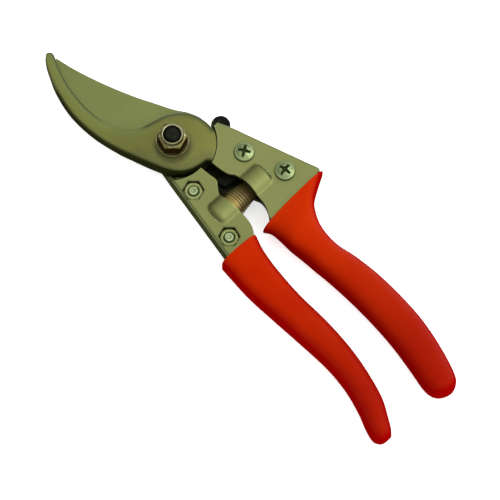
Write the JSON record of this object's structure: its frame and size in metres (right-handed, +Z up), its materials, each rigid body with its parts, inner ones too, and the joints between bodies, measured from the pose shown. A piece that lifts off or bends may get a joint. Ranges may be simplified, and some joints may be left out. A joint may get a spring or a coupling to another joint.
{
  "type": "bypass pruner",
  "caption": "Hand pruner with a hooked counter-blade, curved cutting blade, pressed-steel channel handles in slip-on grips, volute spring and thumb lock.",
  "frame": {"origin": "on the pivot axis, at the underside of the pivot bolt head, which is the plane that the tool lies on", "axes": "+Y along the tool from the grips towards the jaw tips, +Z up out of the tool's plane through the pivot nut, +X towards the handle with the two cross-recess screws"},
  "size_m": [0.0699, 0.2107, 0.0217],
  "materials": {
    "forged_steel": "satin",
    "blade_steel": "satin",
    "pressed_steel": "satin",
    "grip_vinyl": "semi-gloss",
    "black_bolt": "satin",
    "zinc_plate": "bright",
    "nylon": "matte",
    "lever_steel": "satin",
    "tab_plastic": "satin",
    "spring_strip": "bronzed"
  },
  "bodies": {
    "hook_side": {"hook": "forged_steel", "upper_handle": "pressed_steel", "upper_grip": "grip_vinyl", "pivot_bolt": "black_bolt", "pivot_nut": "zinc_plate", "pivot_nut_ring": "nylon", "pivot_front_washer": "zinc_plate", "pivot_back_washer": "zinc_plate", "upper_screws": "zinc_plate", "upper_nuts": "zinc_plate", "tang_spacer": "zinc_plate", "lock_sleeve": "zinc_plate", "lock_washer": "zinc_plate", "volute_spring": "spring_strip"},
    "blade_side": {"cutting_blade": "blade_steel", "lower_handle": "pressed_steel", "lower_grip": "grip_vinyl", "lower_screws": "zinc_plate", "lower_nuts": "zinc_plate"},
    "lock": {"lock_lever": "lever_steel", "lock_thumb_tab": "tab_plastic"}
  },
  "joints": [
    {"name": "jaw_hinge", "type": "hinge", "parent": "hook_side", "child": "blade_side", "pos_m": [0, 0, 0.0069], "axis": [0, 0, -1], "range_deg": [0, 32], "deforming": ["volute_spring"]},
    {"name": "lock_hinge", "type": "hinge", "parent": "hook_side", "child": "lock", "pos_m": [0.0155, -0.0237, 0.0055], "axis": [0, 0, -1], "range_deg": [0, 14]}
  ]
}
